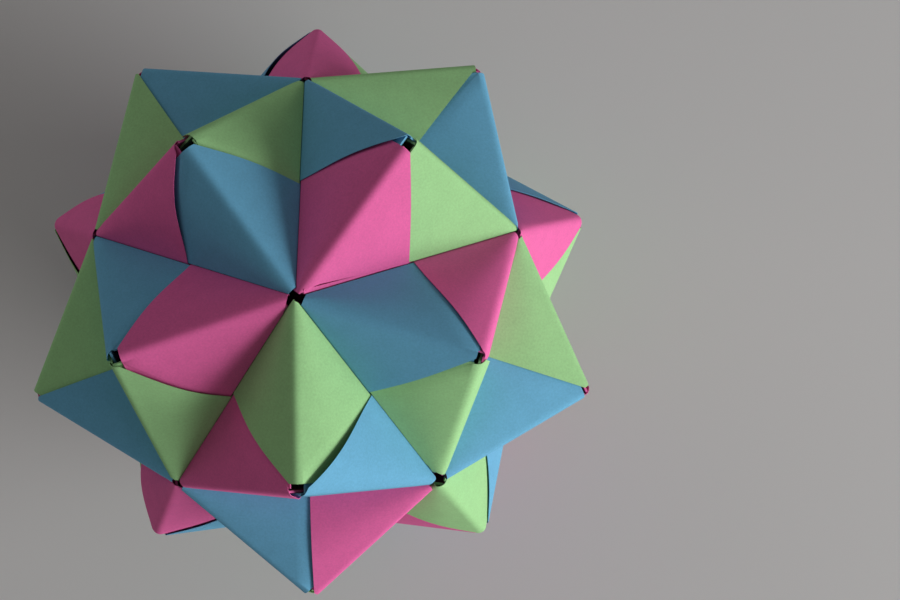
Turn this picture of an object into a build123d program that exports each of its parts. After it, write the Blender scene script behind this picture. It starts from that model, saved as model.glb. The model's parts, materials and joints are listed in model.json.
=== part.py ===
"""Modular paper ball: thirty square sheets, each folded into the same pocketed unit.

Twenty three-sided spikes stand on the faces of an icosahedron. One unit lies along each of the
thirty icosahedron edges: its middle square bends along that edge, as a valley between two spikes,
and each end wraps over one spike's ridge and slides, as a tab, into the next unit's pocket.

The three faces of a spike are square to each other, so a unit is drawn in a spike frame: origin at
the spike's ideal tip, ridges along -X, -Y and -Z, and outward positive on all three axes.
Ball frame: +Z up through a five-way corner, origin on the resting plane below the ball's centre.
"""

import math
import os

from build123d import *

# Driving dimensions, in millimetres
sheet_width = 90.0  # square sheet that makes one unit
paper_thickness = 0.1
sheet_layers = 4  # the folded unit is four papers thick all over
corner_gap = 1.2  # from a five-way corner to the end of a unit's ridge
slip = 0.08  # air between the papers of two units
flap_rise = 1.0  # how far the free edge of a pocket bows out
bow_flats = 6  # flats that make up the bow
fold_radius = 0.3  # outer rounding of a ridge fold

# Paper stack, as heights above the inner side of a spike's face
plate = sheet_layers * paper_thickness
tab_low = plate + slip
tab_high = tab_low + plate
flap_low = tab_high + slip
flap_high = flap_low + paper_thickness
plate_middle = plate / 2
fold_start = tab_high - fold_radius

# Ball sizes, from the sheet and the gap at the corners
corner_units = 5
half_turn = 180.0
crease = sheet_width / 2  # valley crease of a unit
edge = crease + 2 * corner_gap / math.cos(math.pi / corner_units)  # of the icosahedron
ridge = edge / math.sqrt(2)
tip_gap = ridge - corner_gap - crease / math.sqrt(2)
altitude = ridge / math.sqrt(2)  # from a spike's tip to the middle of a face's base
golden = 2 * math.cos(math.pi / corner_units)
corner_radius = edge * math.sqrt(golden**2 + 1) / 2
ring_height = corner_radius / (2 * golden - 1)
ring_radius = 2 * ring_height
face_radius = edge * golden**2 / (2 * math.sqrt(3))  # from the ball's centre to the foot of a spike
tip_radius = face_radius + ridge / math.sqrt(3)

# Valley between two spikes: the plane that halves it leans over each face by this share of the height
icosahedron_angle = 2 * math.atan(golden**2)
face_tilt = math.atan(math.sqrt(2))
half_valley = math.pi - icosahedron_angle / 2 - face_tilt
lean_share = 1 / math.tan(half_valley)

# Pocket wall that dips into the valley, measured from the valley line in the plane of the face
wall_width = paper_thickness / math.sin(half_valley)
tab_inset = lean_share * flap_high + slip + wall_width + slip

# Bow of a pocket's flap: straight lines fan out from the corner, and the middle ones stand up by this slope
flap_angle = math.pi / 4
bow_share = flap_rise * math.cos(flap_angle / 2) / altitude

# Ends of the unit along its ridge
ridge_start = -tip_gap
ridge_end = -(ridge - corner_gap)

# Planes and axes of the spike frame
ball_centre = Vector(-1, -1, -1) * (tip_radius / math.sqrt(3))
valley_middle = Vector(-ridge / 2, -ridge / 2, 0)
to_corner = Vector(-1, 1, 0).normalized()  # across a face, from its altitude to its corner
down_face = Vector(-1, -1, 0).normalized()  # from the tip to the middle of the valley
valley_axis = Axis(valley_middle, valley_middle - ball_centre)
valley_plane = Plane(
    origin=valley_middle,
    x_dir=to_corner,
    z_dir=to_corner.cross(valley_middle - ball_centre),
)


def bow_line(share):
    """Direction of one straight line of the bowed flap: the ridge at share 0, the valley at share 1."""
    turn = flap_angle * share
    return Vector(math.cos(turn), -math.sin(turn), bow_share * math.sin(math.pi * share))


def pocket_body(tip_end, corner_end, ridge_side, floor, roof, inset):
    """Solid over the half of a spike's face that is next to a ridge, from a floor to a bowed roof.

    The roof is part of a cone, made of flats, with its point at the corner. The side at the valley
    follows the valley's slope, at an inset from the valley line.
    """
    wall_foot = valley_middle - down_face * inset
    wall = Plane(origin=wall_foot, x_dir=valley_plane.x_dir, z_dir=valley_plane.z_dir)
    roof_reach = (inset + lean_share * roof) * math.sqrt(2) - ridge_side
    cone_point = Vector(roof_reach - ridge, ridge_side, roof)
    with BuildPart() as body:
        with BuildSketch(Plane.XY.offset(floor)):
            with BuildLine():
                Polyline(
                    (tip_end, ridge_side),
                    (corner_end, ridge_side),
                    (corner_end, -ridge - corner_end),
                    (valley_middle.X, valley_middle.Y),
                    (tip_end, tip_end),
                    close=True,
                )
            make_face()
        extrude(amount=ridge)
        split(bisect_by=wall, keep=Keep.TOP)
        for i in range(bow_flats):
            line, next_line = bow_line(i / bow_flats), bow_line((i + 1) / bow_flats)
            flat = Plane(origin=cone_point, x_dir=line, z_dir=line.cross(next_line))
            split(bisect_by=flat, keep=Keep.TOP)
    return body.part


# Pocket: a one-paper shell, hollow for the next unit's tab as far as the tab's point
tab_point = tab_inset * math.sqrt(2) + tip_gap
hollow_end = tab_point - slip - ridge
pocket_shell = pocket_body(ridge_start, ridge_end, fold_start, plate_middle, flap_high, slip)
pocket_hollow = pocket_body(0, hollow_end, tab_low, plate, flap_low, slip + wall_width)

# Half unit: half of the middle square, the flap over it and the tab past the ridge
with BuildPart() as half_unit:
    with BuildSketch(Plane.XY):
        with BuildLine():
            Polyline(
                (ridge_start, tab_high),
                (ridge_end, tab_high),
                (ridge_end, -corner_gap),
                (-corner_gap, ridge_end),
                (ridge_start, ridge_end),
                close=True,
            )
        make_face()
    extrude(amount=plate)
    split(bisect_by=valley_plane, keep=Keep.TOP)

    tab_slope = ridge - tab_inset * math.sqrt(2)
    with BuildSketch(Plane.XZ.offset(-tab_high)):
        with BuildLine():
            Polyline(
                (ridge_start, flap_high),
                (ridge_end, flap_high),
                (ridge_end, -tab_slope - ridge_end),
                (ridge_start, -tab_slope - ridge_start),
                close=True,
            )
        make_face()
    extrude(amount=plate)
    ridge_edges = half_unit.edges().filter_by(Axis.X).group_by(Axis.Z)[-1]
    fillet(ridge_edges.sort_by(Axis.Y)[-1], fold_radius)
    add(pocket_shell)
    add(pocket_hollow, mode=Mode.SUBTRACT)

with BuildPart() as unit:
    add(half_unit.part)
    add(half_unit.part.rotate(valley_axis, half_turn))

# Corners of the icosahedron, from the ball's centre
step = 2 * math.pi / corner_units
top = Vector(0, 0, corner_radius)
bottom = -top
first_upper = Vector(0, ring_radius, ring_height)
upper = [first_upper.rotate(Axis.Z, math.degrees(step * i)) for i in range(corner_units)]
lower = [-upper[(i + 3) % corner_units] for i in range(corner_units)]


def spike_plane(start, end, third):
    """Spike frame of the face on the left of the edge from start to end, seen from outside."""
    face_middle = (start + end + third) * (1 / 3)
    tip = face_middle.normalized() * tip_radius
    return Plane(origin=tip, x_dir=tip - start, z_dir=tip - third)


# One row for each family of units: name, then the edge and the third corner of the spike on its left
placements = {}
for i in range(corner_units):
    after, before = (i + 1) % corner_units, (i - 1) % corner_units
    placements[f"crown_unit_{i + 1}"] = (top, upper[i], upper[after])
    placements[f"upper_ring_unit_{i + 1}"] = (upper[i], upper[after], top)
    placements[f"left_side_unit_{i + 1}"] = (upper[i], lower[i], upper[after])
    placements[f"right_side_unit_{i + 1}"] = (upper[after], lower[i], lower[after])
    placements[f"lower_ring_unit_{i + 1}"] = (lower[i], lower[after], upper[after])
    placements[f"base_unit_{i + 1}"] = (bottom, lower[i], lower[before])

# Units round the ball's centre, then lifted to stand on the resting plane
ball = {}
for name, corners in placements.items():
    with BuildPart(spike_plane(*corners)) as placed_unit:
        add(unit.part)
    ball[name] = placed_unit.part
rest_height = -min(part.bounding_box().min.Z for part in ball.values())

os.makedirs("parts", exist_ok=True)
for name, part in ball.items():
    resting_unit = Pos(Z=rest_height) * part
    resting_unit.label = name
    export_step(resting_unit, f"parts/{name}.step")
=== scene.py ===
"""Looks of the modular paper ball: thirty folded sheets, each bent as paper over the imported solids."""

import json
import math
import random

import bpy
import numpy as np
from mathutils import Matrix, Vector


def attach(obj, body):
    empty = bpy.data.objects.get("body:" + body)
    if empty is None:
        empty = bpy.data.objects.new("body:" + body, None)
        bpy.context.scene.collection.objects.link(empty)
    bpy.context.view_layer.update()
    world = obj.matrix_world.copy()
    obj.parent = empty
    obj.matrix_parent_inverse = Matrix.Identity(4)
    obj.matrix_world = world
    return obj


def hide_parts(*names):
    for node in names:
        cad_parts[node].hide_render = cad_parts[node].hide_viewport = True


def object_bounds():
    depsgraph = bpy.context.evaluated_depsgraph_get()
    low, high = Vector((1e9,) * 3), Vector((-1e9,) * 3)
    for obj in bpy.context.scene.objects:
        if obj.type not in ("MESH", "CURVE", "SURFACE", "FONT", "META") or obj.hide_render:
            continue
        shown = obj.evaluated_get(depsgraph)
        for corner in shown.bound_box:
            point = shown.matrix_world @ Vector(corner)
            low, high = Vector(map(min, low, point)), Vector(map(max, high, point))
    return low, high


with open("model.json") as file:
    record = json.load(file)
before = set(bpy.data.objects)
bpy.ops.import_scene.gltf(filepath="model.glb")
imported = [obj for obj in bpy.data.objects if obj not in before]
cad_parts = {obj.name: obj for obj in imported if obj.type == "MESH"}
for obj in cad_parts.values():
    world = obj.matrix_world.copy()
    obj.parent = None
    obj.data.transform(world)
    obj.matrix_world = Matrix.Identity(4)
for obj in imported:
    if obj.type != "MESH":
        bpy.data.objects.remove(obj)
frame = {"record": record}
cad_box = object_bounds()

# Sizes of the folded unit, in millimetres, the same as the solids'
PAPER_SIDE = 90.0
CORNER_UNITS = 5  # units that meet round a corner of the ball
PAPER = 0.1
PLATE = 4 * PAPER
CORNER_GAP = 1.2
SLIP = 0.08
TAB_LEVEL = 2 * PLATE + SLIP  # outer side of a tab above the inner side of a spike's face
FLAP_LEVEL = TAB_LEVEL + SLIP + PAPER  # outer side of a pocket flap
CREASE = PAPER_SIDE / 2
EDGE = CREASE + 2 * CORNER_GAP / math.cos(math.pi / CORNER_UNITS)
RIDGE = EDGE / math.sqrt(2)
TIP_GAP = RIDGE - CORNER_GAP - CREASE / math.sqrt(2)
CORNER_RADIUS = EDGE * math.sqrt(10 + 2 * math.sqrt(5)) / 4
TIP_RADIUS = EDGE * (3 * math.sqrt(3) + math.sqrt(15)) / 12 + EDGE / math.sqrt(6)
HALF_VALLEY = math.pi - math.acos(-math.sqrt(5) / 3) / 2 - math.acos(1 / math.sqrt(3))
LEAN = 1 / math.tan(HALF_VALLEY)
MM = 0.001
BALL_CENTRE = Vector((0, 0, (cad_box[0][2] + cad_box[1][2]) / 2 / MM))

# Bends of the paper, in millimetres
FOLD_WIDTH = 1.5  # half the width of paper that bends at a ridge
VALLEY_DIP = 0.72  # how far a flap drops beside a valley
VALLEY_ROUND = 0.7  # width of that drop
FLAP_EDGE = 0.3  # from the valley line to where a flap disappears
TAB_EDGE = 0.75  # from the valley line to a tab's folded edge
BOW = 1.3  # usual bow of a spike's face
LIFT = 0.2  # usual air between a pocket's free edge and the tab under it
LAYER_GAP = 0.04  # between the outer paper of a tab and the papers inside it
OPEN_TAPER = 0.85  # share by which a flap's opening at a valley narrows from corner to raw edge
OPEN_GAP = 0.55  # from such a flap's edge to the paper beside it
OPEN_DEPTH = 1.5 * PAPER  # from the outer side of such a flap down to that paper

# Mesh steps: rows from a corner outwards, and columns from a ridge to a valley
RADIAL_STEPS = 16
SEEN_ROWS = 10 / RADIAL_STEPS  # share of a tab's rows that lie outside the pocket
SIDE_STEPS = 60
SIDE_POWER = 2.2  # crowds the columns at the ridge
VALLEY_STEPS = 4  # of the columns, kept for the last stretch next to the valley, where a flap drops
PROFILE_STEPS = 80


def fold_angle(place):
    """Angle of the paper's normal across a ridge fold, from the tab's at -1 to the flap's at 1."""
    share = (place + 1) / 2
    return math.pi / 2 * share**2 * (3 - 2 * share)


def fold_profile():
    """Places across a fold of unit half width, and the paper's way along the tab and the flap there."""
    place = np.linspace(-1, 1, PROFILE_STEPS + 1)
    angle = fold_angle((place[1:] + place[:-1]) / 2)
    step = 2 / PROFILE_STEPS
    rise = np.concatenate([[0], np.cumsum(np.cos(angle)) * step])
    run = np.concatenate([[0], np.cumsum(np.sin(angle)) * step])
    return place, rise, run


PROFILE, RISE, RUN = fold_profile()


def fold_over_ridge(along, across, width):
    """Points and normals of the outer paper bent over a ridge.

    along is the distance from the corner down the ridge, across the distance from the fold line, on
    the paper: positive on the flap's side and negative on the tab's.
    """
    place = np.clip(across / width, -1, 1)
    flat = across - place * width
    angle = fold_angle(place)
    y = TAB_LEVEL - width * np.interp(place, PROFILE, RUN) - np.maximum(flat, 0)
    z = FLAP_LEVEL - width * (RISE[-1] - np.interp(place, PROFILE, RISE)) + np.minimum(flat, 0)
    normal = np.stack([np.zeros_like(angle), np.cos(angle), np.sin(angle)], axis=-1)
    return np.stack([along - RIDGE, y, z], axis=-1), normal


def past_fold(share, across, width):
    """Share of the way from ridge to valley, held back at first so that the ridge fold stays round."""
    place = np.clip(across / width, 1e-6, 1)
    started = 1 - (1 - 0.75 * place + 0.125 * place**3) * place * width / np.maximum(across, 1e-6)
    return share * started ** (1 - share)


def face_bow(look, share):
    """How far a spike's face bows out with the pocket on it: nothing at the ridge and at the valley."""
    return look["bow"] * np.sin(math.pi * share * (1 + look["bow_skew"] * (1 - share)))


def outer_paper(look, cover):
    """Outer and inner surfaces of the paper that is flap, ridge and tab, as grids fanned from the corner.

    look has the half unit's own bends, and cover those of the half unit whose pocket takes its tab.
    """
    share = np.linspace(0, 1, SIDE_STEPS - VALLEY_STEPS + 1) ** SIDE_POWER
    share = np.concatenate([share[:-1], np.linspace(share[-2], 1, VALLEY_STEPS + 2)[1:]])
    turn = share * math.pi / 4
    rows = np.linspace(0, 1, RADIAL_STEPS + 1)[:, None]
    width = look["fold_width"]
    bend_loss = width * (1 - RISE[-1])
    tip = RIDGE - look["tip_gap"]
    slant = look["corner_slant"]
    square_start = look["corner_gap"] * math.cos(slant)

    # Flap: from the ridge to the valley, ending at the raw edge or at the blunt tip
    paper_loss = TAB_LEVEL + bend_loss
    spread = (paper_loss - FLAP_EDGE * math.sqrt(2)) * share
    raw_edge = (RIDGE - spread) / (np.cos(turn) + np.sin(turn))
    reach = np.minimum(tip / np.cos(turn), raw_edge)
    start = square_start / np.cos(turn - slant)
    far = start + rows * (reach - start)
    along, across = far * np.cos(turn), far * np.sin(turn) + spread
    bow_place = past_fold(share, across, width)
    across = across - look["valley_open"] * share**4 * (1 - OPEN_TAPER * far / raw_edge)
    flap, flap_normal = fold_over_ridge(along, across, width)
    lift = look["lift"] * np.sin(math.pi * bow_place ** look["lift_place"]) ** 2
    from_valley = (along - across + paper_loss) / math.sqrt(2)
    dip = np.clip(1 - (from_valley - FLAP_EDGE) / VALLEY_ROUND, 0, 1)
    drop = VALLEY_DIP * (1 - np.sqrt(1 - dip**2))
    flap[..., 2] += (face_bow(look, bow_place) + lift) * far / raw_edge - np.where(across > 0, drop, 0)

    # Tab: from the ridge to its folded edge, ending square at the tip and bowed like the pocket over it
    paper_loss = FLAP_LEVEL + bend_loss
    spread = (paper_loss - TAB_EDGE * math.sqrt(2)) * share
    raw_edge = (RIDGE - spread) / (np.cos(turn) + np.sin(turn))
    reach = tip / np.cos(turn)
    start = square_start / np.cos(turn + slant)
    pocket_edge = np.minimum(raw_edge, reach - PAPER)
    far = start + np.minimum(rows / SEEN_ROWS, 1) * (pocket_edge - start)
    far += np.maximum(rows - SEEN_ROWS, 0) / (1 - SEEN_ROWS) * (reach - pocket_edge)
    hidden = np.clip((far - raw_edge) / np.maximum(reach - raw_edge, 1e-3), 0, 1)
    along, across = far * np.cos(turn), far * np.sin(turn) + spread
    across = across - cover["valley_open"] * hidden * share**3
    tab, tab_normal = fold_over_ridge(along, -across, width)
    bow = face_bow(cover, past_fold(share, across, width))
    tab[..., 1] += bow * np.minimum(far / raw_edge, 1) * (1 - hidden) ** 2

    outer = np.concatenate([tab[:, :0:-1], flap], axis=1)
    normal = np.concatenate([tab_normal[:, :0:-1], flap_normal], axis=1)
    return outer, outer - PAPER * normal


def prism(low, high):
    """Closed prism between two outlines of as many points."""
    n = len(low)
    sides = [(i, (i + 1) % n, n + (i + 1) % n, n + i) for i in range(n)]
    ends = [tuple(range(n - 1, -1, -1)), tuple(range(n, 2 * n))]
    return np.array(list(low) + list(high), float), ends + sides


def inner_layers(look, cover):
    """The middle square's half and the papers inside the tab, as thin slabs."""
    tip, end = -look["tip_gap"] + look["layer_shift"], -(RIDGE - look["corner_gap"]) + PLATE
    inset = LEAN * PLATE / math.sqrt(2)
    ridge_side = TAB_LEVEL - PLATE
    outline = [
        ((tip, ridge_side), 0),
        ((end, ridge_side), 0),
        ((end, -RIDGE - end), inset),
        ((-RIDGE - end, end), inset),
        ((tip, end), 0),
    ]
    low = [(x, y, 0) for (x, y), _ in outline]
    high = [(x + shift, y + shift, PLATE) for (x, y), shift in outline]
    base = prism(low, high)

    slope = RIDGE - TAB_EDGE * math.sqrt(2) - LAYER_GAP
    tip -= 2 * look["layer_shift"]
    below_fold = PLATE - 0.6 * look["fold_width"]
    end = max(end, PAPER - slope - below_fold)
    tip_edge = cover["valley_open"] - slope - tip
    outline = [(tip, below_fold), (end, below_fold), (end, -slope - end), (tip, tip_edge)]
    outer, inner = TAB_LEVEL - PAPER - LAYER_GAP, TAB_LEVEL - PLATE
    core = prism([(x, outer, z) for x, z in outline], [(x, inner, z) for x, z in outline])
    if not look["valley_open"]:
        return [base, core]

    # Paper that shows beside the valley, past a thin gap, where a flap stands off
    level = FLAP_LEVEL - OPEN_DEPTH
    strip_low = LEAN * level + SLIP
    places = []
    for along in (look["corner_gap"] + PLATE, RIDGE / math.sqrt(2)):
        narrowing = 1 - OPEN_TAPER * along / RIDGE * math.sqrt(2)
        flap_edge = FLAP_EDGE + look["valley_open"] / math.sqrt(2) * narrowing
        places.append(((along, strip_low), (along, max(flap_edge - OPEN_GAP, strip_low + PAPER))))
    outline = [
        ((along + up) / math.sqrt(2) - RIDGE, (up - along) / math.sqrt(2))
        for along, up in (places[0][0], places[1][0], places[1][1], places[0][1])
    ]
    strip = prism([(x, y, level - PAPER) for x, y in outline], [(x, y, level) for x, y in outline])
    return [base, core, strip]


def half_unit(look, cover):
    """Vertices, faces and smooth flags of half a unit in its spike's frame."""
    outer, inner = outer_paper(look, cover)
    rows, columns = outer.shape[:2]
    index = np.arange(rows * columns).reshape(rows, columns)
    points, faces, smooth = [outer.reshape(-1, 3), inner.reshape(-1, 3)], [], []
    for grid, flip in ((index, False), (index + index.size, True)):
        quad_corners = [grid[:-1, :-1], grid[1:, :-1], grid[1:, 1:], grid[:-1, 1:]]
        quads = np.stack(quad_corners, axis=-1).reshape(-1, 4)
        faces += [tuple(q[::-1] if flip else q) for q in quads.tolist()]
    smooth += [True] * len(faces)

    # Cut edge of the paper all round, with vertices of its own so that it stays crisp
    ring = [(0, j) for j in range(columns)] + [(i, columns - 1) for i in range(1, rows)]
    ring += [(rows - 1, j) for j in range(columns - 2, -1, -1)] + [(i, 0) for i in range(rows - 2, 0, -1)]
    base = 2 * index.size
    points.append(np.array([outer[k] for k in ring] + [inner[k] for k in ring]))
    n = len(ring)
    faces += [(base + i, base + (i + 1) % n, base + n + (i + 1) % n, base + n + i) for i in range(n)]
    smooth += [False] * n
    base += 2 * n
    for slab_points, slab_faces in inner_layers(look, cover):
        points.append(slab_points)
        faces += [tuple(base + k for k in face) for face in slab_faces]
        smooth += [False] * len(slab_faces)
        base += len(slab_points)
    return np.concatenate(points), faces, smooth


def spike_matrix(start, end, third):
    """Placing of a spike's frame, on the left of the edge from start to end as seen from outside."""
    tip = ((start + end + third) / 3).normalized() * TIP_RADIUS
    x_axis, z_axis = (tip - start).normalized(), (tip - third).normalized()
    turn = Matrix((x_axis, z_axis.cross(x_axis), z_axis)).transposed().to_4x4()
    return Matrix.Scale(MM, 4) @ Matrix.Translation(tip + BALL_CENTRE) @ turn


def usual_look(rng):
    """One half unit's own bends, a little different from the next one's."""
    return {
        "fold_width": FOLD_WIDTH * rng.uniform(0.8, 1.2),
        "tip_gap": TIP_GAP * rng.uniform(0.7, 1.7),
        "corner_gap": CORNER_GAP * rng.uniform(0.75, 1.2),
        "corner_slant": rng.uniform(-0.3, 0.5),
        "bow": BOW * rng.uniform(0.4, 1.2),
        "bow_skew": rng.uniform(0.0, 0.6),
        "lift": LIFT * rng.uniform(0.5, 1.5),
        "lift_place": 0.7,
        "valley_open": 0.0,
        "layer_shift": rng.uniform(-0.35, 0.15),
    }


# Bends that stand out in the picture, by unit and half: 0 is at the unit's first corner, 1 at its second
SEEN_LOOKS = {
    ("crown_unit_1", 0): {"tip_gap": 1.5, "corner_slant": -0.1},
    ("crown_unit_1", 1): {"bow": 1.0, "bow_skew": 0.6, "tip_gap": 0.5},
    ("crown_unit_2", 0): {"bow": 1.2, "bow_skew": 0.5, "corner_slant": 0.5},
    ("crown_unit_2", 1): {"bow": 1.4, "bow_skew": 0.7, "lift": 0.5, "tip_gap": 1.5},
    ("crown_unit_3", 0): {"tip_gap": 1.3, "corner_gap": 0.6, "corner_slant": 0.4},
    ("crown_unit_3", 1): {"bow": 1.6, "bow_skew": 0.1, "corner_gap": 1.6},
    ("crown_unit_4", 0): {"tip_gap": 0.6, "corner_gap": 1.5, "corner_slant": 0.1},
    ("crown_unit_4", 1): {
        "bow": 1.2,
        "bow_skew": 0.5,
        "lift": 1.1,
        "lift_place": 0.45,
        "corner_gap": 1.8,
    },
    ("crown_unit_5", 0): {
        "bow": 0.0,
        "valley_open": 2.6,
        "tip_gap": 1.6,
        "corner_gap": 0.8,
        "corner_slant": 0.0,
    },
    ("crown_unit_5", 1): {"bow": 0.9, "bow_skew": 1.0, "tip_gap": 0.4},
    ("upper_ring_unit_1", 0): {"tip_gap": 2.0},
    ("upper_ring_unit_3", 0): {"corner_gap": 1.6},
    ("upper_ring_unit_3", 1): {"bow": 1.3, "bow_skew": 0.2, "corner_gap": 1.9},
    ("upper_ring_unit_4", 0): {"corner_gap": 2.0},
    ("upper_ring_unit_5", 0): {"corner_gap": 0.9},
    ("left_side_unit_1", 1): {"bow": 1.8, "lift": 0.5},
    ("left_side_unit_3", 0): {"corner_gap": 1.5},
    ("left_side_unit_4", 0): {"tip_gap": 1.0, "corner_gap": 1.7},
    ("left_side_unit_5", 0): {"corner_gap": 0.7},
    ("right_side_unit_1", 0): {"bow": 1.6},
    ("right_side_unit_2", 0): {"bow": 1.8},
    ("right_side_unit_3", 0): {"corner_gap": 1.9},
    ("right_side_unit_4", 0): {"corner_gap": 0.8},
    ("right_side_unit_5", 0): {"bow": 1.5},
}


def ball_corners():
    """Corners of the icosahedron about the ball's centre, by name."""
    height = CORNER_RADIUS / math.sqrt(5)
    corners = {"top": Vector((0, 0, CORNER_RADIUS)), "bottom": Vector((0, 0, -CORNER_RADIUS))}
    for i in range(CORNER_UNITS):
        turn = math.radians(90 + 360 / CORNER_UNITS * i)
        corners[f"upper_{i}"] = Vector((2 * height * math.cos(turn), 2 * height * math.sin(turn), height))
        turn += math.radians(180 / CORNER_UNITS)
        corners[f"lower_{i}"] = Vector((2 * height * math.cos(turn), 2 * height * math.sin(turn), -height))
    return corners


def unit_places():
    """Each unit's edge, from and to, and the third corner of the spike on its left."""
    places = {}
    for i in range(CORNER_UNITS):
        after, before = (i + 1) % CORNER_UNITS, (i - 1) % CORNER_UNITS
        places[f"crown_unit_{i + 1}"] = ("top", f"upper_{i}", f"upper_{after}")
        places[f"upper_ring_unit_{i + 1}"] = (f"upper_{i}", f"upper_{after}", "top")
        places[f"left_side_unit_{i + 1}"] = (f"upper_{i}", f"lower_{i}", f"upper_{after}")
        places[f"right_side_unit_{i + 1}"] = (f"upper_{after}", f"lower_{i}", f"lower_{after}")
        places[f"lower_ring_unit_{i + 1}"] = (f"lower_{i}", f"lower_{after}", f"upper_{after}")
        places[f"base_unit_{i + 1}"] = ("bottom", f"lower_{i}", f"lower_{before}")
    return places


NEIGHBOUR_REACH = 1.1 * EDGE  # corners nearer than this share an edge


def half_places(corners):
    """Each half unit's edge, from its own corner on, and the third corner of the spike that it is on."""
    halves = {}
    for node, (start, end, third) in unit_places().items():
        far_corner = next(
            name
            for name, place in corners.items()
            if name not in (start, end, third)
            and all((place - corners[near]).length < NEIGHBOUR_REACH for near in (start, end))
        )
        halves[node, 0] = (start, end, third)
        halves[node, 1] = (end, start, far_corner)
    return halves


def paper_material(name, colour):
    """Matt coloured-through paper with fine fibres."""
    material = bpy.data.materials.new(name)
    material.use_nodes = True
    nodes, links = material.node_tree.nodes, material.node_tree.links
    shader = nodes["Principled BSDF"]
    shader.inputs["Roughness"].default_value = 0.88
    shader.inputs["Specular IOR Level"].default_value = 0.25

    place = nodes.new("ShaderNodeTexCoord")
    fibres = nodes.new("ShaderNodeTexNoise")
    fibres.inputs["Scale"].default_value = 2600
    fibres.inputs["Detail"].default_value = 4
    clouds = nodes.new("ShaderNodeTexNoise")
    clouds.inputs["Scale"].default_value = 320
    clouds.inputs["Detail"].default_value = 3
    links.new(place.outputs["Object"], fibres.inputs["Vector"])
    links.new(place.outputs["Object"], clouds.inputs["Vector"])

    ramp = nodes.new("ShaderNodeValToRGB")
    ramp.color_ramp.elements[0].position = 0.3
    ramp.color_ramp.elements[1].position = 0.7
    ramp.color_ramp.elements[0].color = (*[c * 0.91 for c in colour], 1)
    ramp.color_ramp.elements[1].color = (*[min(1, c * 1.09) for c in colour], 1)
    mix = nodes.new("ShaderNodeMix")
    mix.data_type = "FLOAT"
    mix.inputs["Factor"].default_value = 0.7
    links.new(clouds.outputs["Fac"], mix.inputs["A"])
    links.new(fibres.outputs["Fac"], mix.inputs["B"])
    links.new(mix.outputs["Result"], ramp.inputs["Fac"])
    links.new(ramp.outputs["Color"], shader.inputs["Base Color"])

    bump = nodes.new("ShaderNodeBump")
    bump.inputs["Strength"].default_value = 0.15
    bump.inputs["Distance"].default_value = 0.05 * MM
    links.new(fibres.outputs["Fac"], bump.inputs["Height"])
    links.new(bump.outputs["Normal"], shader.inputs["Normal"])
    return material


def srgb(red, green, blue):
    """Linear colour of a colour written as sRGB, 0 to 255."""
    channels = (red / 255, green / 255, blue / 255)
    return [c / 12.92 if c <= 0.04045 else ((c + 0.055) / 1.055) ** 2.4 for c in channels]


papers = {
    "blue_paper": paper_material("blue_paper", srgb(106, 173, 208)),
    "green_paper": paper_material("green_paper", srgb(158, 209, 145)),
    "pink_paper": paper_material("pink_paper", srgb(231, 104, 167)),
}

# Units: each half's tab goes into the pocket of the half that starts at its spike's third corner
corners = ball_corners()
rng = random.Random(7)
halves = half_places(corners)
looks = {half: usual_look(rng) | SEEN_LOOKS.get(half, {}) for half in halves}
half_at = {(frozenset(names), names[0]): half for half, names in halves.items()}
slots = {part["node"]: part["material_slot"] for part in frame["record"]["subparts"]}
for node in unit_places():
    points, faces, smooth = [], [], []
    for half in ((node, 0), (node, 1)):
        names = halves[half]
        cover = half_at[frozenset(names), names[2]]
        half_points, half_faces, half_smooth = half_unit(looks[half], looks[cover])
        side = np.array(spike_matrix(*[corners[name] for name in names]))
        shift = sum(len(p) for p in points)
        points.append(half_points @ side[:3, :3].T + side[:3, 3])
        faces += [tuple(k + shift for k in face) for face in half_faces]
        smooth += half_smooth
    mesh = bpy.data.meshes.new(f"{node}_sheet")
    mesh.from_pydata(np.concatenate(points).tolist(), [], faces)
    mesh.polygons.foreach_set("use_smooth", smooth)
    mesh.materials.append(papers[slots[node]])
    mesh.update()
    piece = bpy.data.objects.new(f"{node}_sheet", mesh)
    bpy.context.scene.collection.objects.link(piece)
    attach(piece, "root")
    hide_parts(node)

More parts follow.
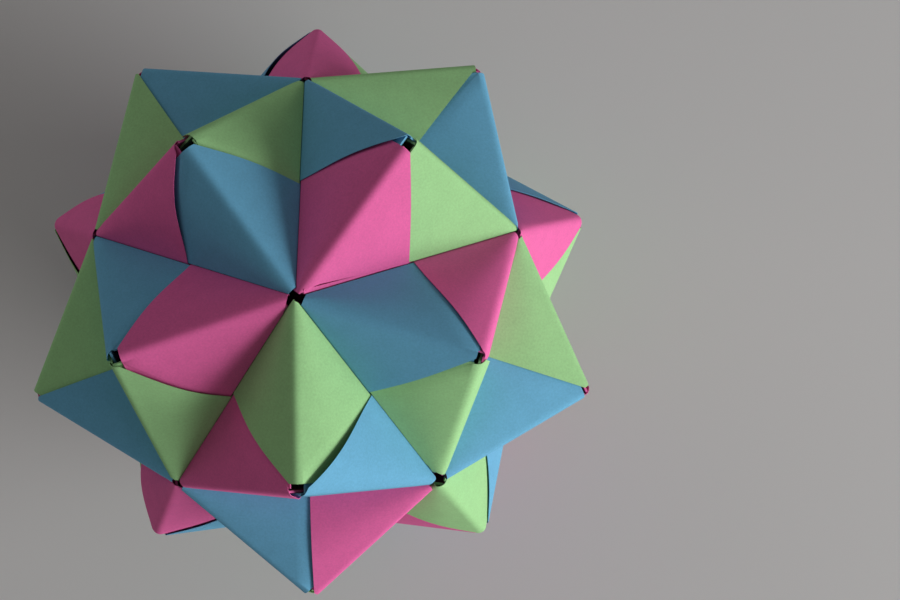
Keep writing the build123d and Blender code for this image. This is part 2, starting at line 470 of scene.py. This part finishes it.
# Floor
FLOOR_REACH = 3.0  # metres from the middle to each side
floor_mesh = bpy.data.meshes.new("floor")
floor_corners = [(x * FLOOR_REACH, y * FLOOR_REACH, 0) for x, y in ((-1, -1), (1, -1), (1, 1), (-1, 1))]
floor_mesh.from_pydata(floor_corners, [], [(0, 1, 2, 3)])
floor = bpy.data.objects.new("floor", floor_mesh)
bpy.context.scene.collection.objects.link(floor)
floor_material = bpy.data.materials.new("floor")
floor_material.use_nodes = True
floor_shader = floor_material.node_tree.nodes["Principled BSDF"]
floor_shader.inputs["Base Color"].default_value = (*srgb(217, 216, 216), 1)
floor_shader.inputs["Roughness"].default_value = 0.6
floor_mesh.materials.append(floor_material)

# Light: a soft window low at the right of the picture, a weak reflector opposite it and a dim room
world = bpy.data.worlds.new("room")
bpy.context.scene.world = world
world.use_nodes = True
room_light = world.node_tree.nodes["Background"]
room_light.inputs["Color"].default_value = (1.0, 0.97, 0.93, 1)
room_light.inputs["Strength"].default_value = 0.16


def area_light(name, place, aim, size, power):
    """Area light, of a width and a height, aimed at a point, in metres and watts."""
    light = bpy.data.lights.new(name, "AREA")
    light.shape = "RECTANGLE"
    light.size, light.size_y = size
    light.energy = power
    lamp = bpy.data.objects.new(name, light)
    lamp.location = place
    lamp.rotation_euler = (Vector(aim) - Vector(place)).to_track_quat("-Z", "Y").to_euler()
    bpy.context.scene.collection.objects.link(lamp)


ball_middle = BALL_CENTRE * MM
area_light("window", ball_middle + Vector((1.06, -0.48, 0.33)), ball_middle, (1.1, 0.55), 15.2)
area_light("reflector", ball_middle + Vector((-0.9, 0.85, 0.4)), ball_middle, (0.8, 0.8), 1.5)

# Camera: above the ball, looking almost straight down, as in the picture
FOCAL_PIXELS = 2297.4
PICTURE_WIDTH = 900
camera_data = bpy.data.cameras.new("camera")
camera_data.sensor_width = 36
camera_data.lens = FOCAL_PIXELS / PICTURE_WIDTH * camera_data.sensor_width
camera = bpy.data.objects.new("camera", camera_data)
bpy.context.scene.collection.objects.link(camera)
camera_place = ball_middle + Vector((33.0, -14.2, 446.2)) * MM
camera_aim = ball_middle + Vector((26.3, 0.8, 0)) * MM
up = Vector((0.0086, 0.9994, 0.0336))
back = (camera_place - camera_aim).normalized()
right = up.cross(back).normalized()
camera_turn = Matrix((right, back.cross(right), back)).transposed().to_4x4()
camera.matrix_world = Matrix.Translation(camera_place) @ camera_turn
bpy.context.scene.camera = camera
bpy.context.scene.view_settings.view_transform = "Standard"

bpy.context.view_layer.update()
